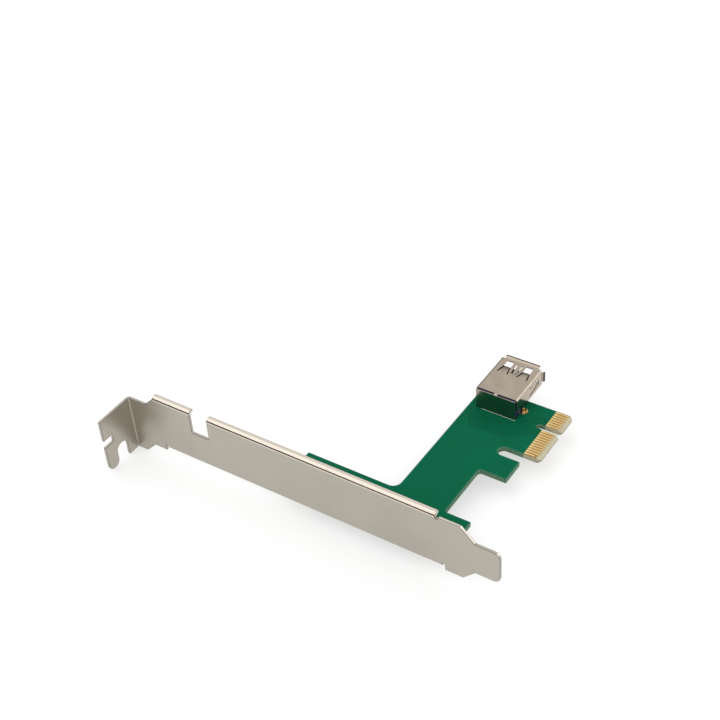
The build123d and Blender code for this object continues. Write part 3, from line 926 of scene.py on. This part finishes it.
class CARD_OT_receptacle(CardOperator, bpy.types.Operator):
    """Folded shell, plastic block, pin comb and contacts of the receptacle"""

    bl_idname = "card.receptacle"
    bl_label = "Receptacle"

    # Millimetres inside the shell's box at which its mouth and its sides each turn into a lip,
    # darkened by painted shade and rougher
    mouth_lip = (0.3, 0.2)
    side_lip = (0.6, 0.4)
    lip_painted_shade = 0.3
    lip_roughness = 0.3

    def execute(self, context):
        colours = context.scene.card_colours
        relief = context.scene.card_relief
        # Each lip's darker colour is painted shade; its higher roughness is the metal's own.
        faces = metal("shell_nickel", colours.shell, roughness=0.15, cloud=0.25, grain_axis=0,
                      wear=0.035, zones=self.painted_shade_lips(tint(colours.shell, self.lip_painted_shade)))
        edges = metal("shell_edge", tint(colours.shell, 0.9), roughness=0.28, cloud=0.8)
        dress("usb_shell", faces, edges)
        soften("usb_shell", relief.shell_edge, edge_slot=1)
        # The housing's blue is partly painted shade: darkened to stand in for the shade inside the
        # shell.
        dress("usb_housing", plastic("housing_blue", colours.housing, roughness=0.42, specular=0.4))
        soften("usb_housing", relief.plastic_edge)
        dress("usb_pin_spacer",
              plastic("comb_black", colours.spacer, roughness=0.5, specular=0.35))
        soften("usb_pin_spacer", relief.plastic_edge / 2)
        gold = metal("contact_gold", colours.gold, roughness=0.24, cloud=0.7, grain_axis=0)
        for node in CONTACTS:
            dress(node, gold)
            soften(node, relief.shell_edge / 2, segments=1)
        return {"FINISHED"}

    def painted_shade_lips(self, dull):
        """Zones of the shell's metal, each from an axis, the box's limit there and the way in,
        darkened by painted shade.
        """
        low, high = SHELL_LOW / MM, SHELL_HIGH / MM
        return [(axis, limit + way * start, limit + way * end, dull, self.lip_roughness)
                for axis, limit, way, (start, end) in (
                    (0, high.x, -1, self.mouth_lip),
                    (1, low.y, 1, self.side_lip),
                    (1, high.y, -1, self.side_lip))]


class CARD_OT_solder(CardOperator, bpy.types.Operator):
    """Solder that has wetted up round each tail on the solder side"""

    bl_idname = "card.solder"
    bl_label = "Solder joints"

    joints = ("shell_leg_joints", "power_contact_joints", "fast_contact_joints")
    rim = 0.05 * MM
    # Radius of the neck as a share of the foot's, and of the end as a share of the neck's
    neck = 0.42
    end = 0.6
    end_rounding = 0.03 * MM
    end_height = 0.04 * MM
    steps = 12
    sides = 36

    def execute(self, context):
        solder = metal("bright_solder", context.scene.card_colours.solder, roughness=0.24,
                       cloud=1.2, wear=0.1)
        draw = random.Random(5)
        for node in self.joints:
            shape = bmesh.new()
            for low, high in solids_of(node):
                tallness = draw.uniform(0.9, 1.0)
                curve = draw.uniform(1.7, 2.3)
                revolve(shape, (low + high) / 2, self.wetted(low, high, tallness, curve),
                        self.sides)
            add_piece(f"{node}_wetted", shape, solder, (node,))
        return {"FINISHED"}

    def wetted(self, low, high, tallness, curve):
        """Outline of a joint from the board down, hollow between its foot and its neck."""
        foot = (high.x - low.x) / 2
        neck = self.neck * foot
        rim = high.z - self.rim
        profile = [(foot, high.z)]
        for i in range(self.steps + 1):
            share = i / self.steps
            radius = neck + (foot - neck) * (1 - share) ** curve
            profile.append((radius, rim + (low.z - rim) * tallness * share))
        lowest = profile[-1][1]
        return profile + [(self.end * neck, lowest - self.end_rounding),
                          (0, lowest - self.end_height), (0, high.z)]


class CARD_OT_stage(CardOperator, bpy.types.Operator):
    """Pale floor, soft light and the camera"""

    bl_idname = "card.stage"
    bl_label = "Stage"

    eye = Vector((-259.7394, -121.2693, 260.8222)) * MM
    right = Vector((0.54465, -0.83643, -0.06118))
    down = Vector((-0.55412, -0.30414, -0.77489))
    lens = 68.53
    sensor = 36.0
    nearest = 0.01

    floor_reach = 2.5
    dark_card_ways = {"left": Vector((-0.87, 0.49, 0)), "right": Vector((0.89, 0.46, 0))}
    dark_card_width = 0.8
    dark_card_height = 0.34
    dark_card_distance = 0.6
    # Way to each lamp from the card, its distance and its size
    overhead = (Vector((-0.25, 0.45, 0.80)), 1.1, 1.5)
    tongue_side = (Vector((0.60, -0.66, 0.45)), 1.0, 0.6)

    def execute(self, context):
        light = context.scene.card_stage
        low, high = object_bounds()
        middle = (low + high) / 2
        self.add_camera(context.scene)
        self.add_sky(context.scene, light.sky)
        self.add_floor(low.z, light.floor, light.lift)
        for side, away in self.dark_card_ways.items():
            foot = Vector((low.x, middle.y, low.z))
            self.add_dark_card(f"dark_card_{side}", light.card, foot, away)
        self.add_lamp("overhead", middle, *self.overhead, light.key)
        self.add_lamp("tongue_side", middle, *self.tongue_side, light.side)
        context.scene.view_settings.view_transform = "Standard"
        return {"FINISHED"}

    def add_camera(self, scene):
        data = bpy.data.cameras.new("camera")
        data.lens = self.lens
        data.sensor_width = self.sensor
        data.clip_start = self.nearest
        camera = bpy.data.objects.new("camera", data)
        back = self.right.cross(-self.down).normalized()
        turn = Matrix((self.right, -self.down, back)).transposed()
        camera.matrix_world = Matrix.Translation(self.eye) @ turn.to_4x4()
        scene.collection.objects.link(camera)
        scene.camera = camera

    def seen(self, tree):
        """1 for the rays that show the backdrop: from the camera, off a gloss or through glass."""
        path = tree.nodes.new("ShaderNodeLightPath")
        total = path.outputs["Is Camera Ray"]
        for kind in ("Is Glossy Ray", "Is Transmission Ray"):
            step = tree.nodes.new("ShaderNodeMath")
            step.operation = "MAXIMUM"
            tree.links.new(total, step.inputs[0])
            tree.links.new(path.outputs[kind], step.inputs[1])
            total = step.outputs[0]
        return total

    def add_sky(self, scene, strength):
        """White where it is seen, and a plain level of light elsewhere."""
        world = bpy.data.worlds.new("studio")
        world.use_nodes = True
        tree = world.node_tree
        background = tree.nodes["Background"]
        level = tree.nodes.new("ShaderNodeMapRange")
        tree.links.new(self.seen(tree), level.inputs["Value"])
        level.inputs["To Min"].default_value = strength
        level.inputs["To Max"].default_value = 1.0
        tree.links.new(level.outputs[0], background.inputs["Strength"])
        background.inputs["Color"].default_value = WHITE
        scene.world = world

    def paper(self, name, base, roughness=0.5):
        """Plain matt material."""
        material = bpy.data.materials.new(name)
        material.use_nodes = True
        inputs = material.node_tree.nodes["Principled BSDF"].inputs
        inputs["Base Color"].default_value = (*base, 1)
        inputs["Roughness"].default_value = roughness
        inputs["Specular IOR Level"].default_value = 0.0
        return material

    def add_sheet(self, name, corners, material):
        """Flat sheet of the stage."""
        mesh = bpy.data.meshes.new(name)
        mesh.from_pydata(corners, [], [(0, 1, 2, 3)])
        mesh.materials.append(material)
        sheet = bpy.data.objects.new(name, mesh)
        bpy.context.scene.collection.objects.link(sheet)
        sheet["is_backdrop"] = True
        return sheet

    def add_floor(self, height, tone, white):
        """Floor that returns a share of the light, and adds some white where it is seen."""
        material = self.paper("floor_paper", (tone, tone, tone), roughness=0.9)
        tree = material.node_tree
        inputs = tree.nodes["Principled BSDF"].inputs
        inputs["Emission Color"].default_value = WHITE
        lift = tree.nodes.new("ShaderNodeMath")
        lift.operation = "MULTIPLY"
        lift.inputs[1].default_value = white
        tree.links.new(self.seen(tree), lift.inputs[0])
        tree.links.new(lift.outputs[0], inputs["Emission Strength"])
        reach = self.floor_reach
        corners = [(x * reach, y * reach, height) for x, y in ((-1, -1), (1, -1), (1, 1), (-1, 1))]
        self.add_sheet("floor", corners, material)

    def add_dark_card(self, name, base, foot, away):
        """Upright card seen in reflections only, which draws a dark line along folded metal."""
        material = self.paper(f"{name}_black", base)
        across = Vector((away.y, -away.x, 0)) * self.dark_card_width / 2
        middle = foot + away * self.dark_card_distance
        rise = Vector((0, 0, self.dark_card_height))
        card = self.add_sheet(name, [middle - across, middle + across, middle + across + rise,
                                     middle - across + rise], material)
        for kind in ("camera", "diffuse", "shadow", "transmission", "volume_scatter"):
            setattr(card, f"visible_{kind}", False)

    def add_lamp(self, name, target, way, distance, size, radiance):
        """Square soft lamp that faces the target, with its radiance given instead of its power."""
        data = bpy.data.lights.new(name, "AREA")
        data.size = size
        data.energy = radiance * math.pi * size * size
        lamp = bpy.data.objects.new(name, data)
        lamp.location = target + way.normalized() * distance
        lamp.rotation_mode = "QUATERNION"
        lamp.rotation_quaternion = way.to_track_quat("Z", "Y")
        lamp.visible_camera = False
        bpy.context.scene.collection.objects.link(lamp)


class CARD_PT_panel(bpy.types.Panel):
    """Steps that dress the card, in order"""

    bl_idname = "CARD_PT_panel"
    bl_label = "Adapter card"
    bl_space_type = "VIEW_3D"
    bl_region_type = "UI"
    bl_category = "Card"

    def draw(self, context):
        for operator in OPERATORS:
            self.layout.operator(operator.bl_idname)
        for name in GROUPS:
            group = getattr(context.scene, name)
            box = self.layout.box()
            for key in group.bl_rna.properties.keys():
                if key not in ("rna_type", "name"):
                    box.prop(group, key)


GROUPS = {"card_colours": CardColours, "card_relief": CardRelief, "card_stage": CardStage}
OPERATORS = (CARD_OT_bracket, CARD_OT_board, CARD_OT_edge_contacts, CARD_OT_routing,
             CARD_OT_legend, CARD_OT_plated_holes, CARD_OT_screws, CARD_OT_receptacle,
             CARD_OT_solder, CARD_OT_stage)


def register():
    for cls in (*GROUPS.values(), *OPERATORS, CARD_PT_panel):
        bpy.utils.register_class(cls)
    for name, group in GROUPS.items():
        setattr(bpy.types.Scene, name, PointerProperty(type=group))


def unregister():
    for name in GROUPS:
        delattr(bpy.types.Scene, name)
    for cls in (CARD_PT_panel, *reversed(OPERATORS), *reversed(GROUPS.values())):
        bpy.utils.unregister_class(cls)


def main():
    register()
    for operator in OPERATORS:
        getattr(bpy.ops.card, operator.bl_idname.split(".")[1])()


if __name__ == "__main__":
    main()
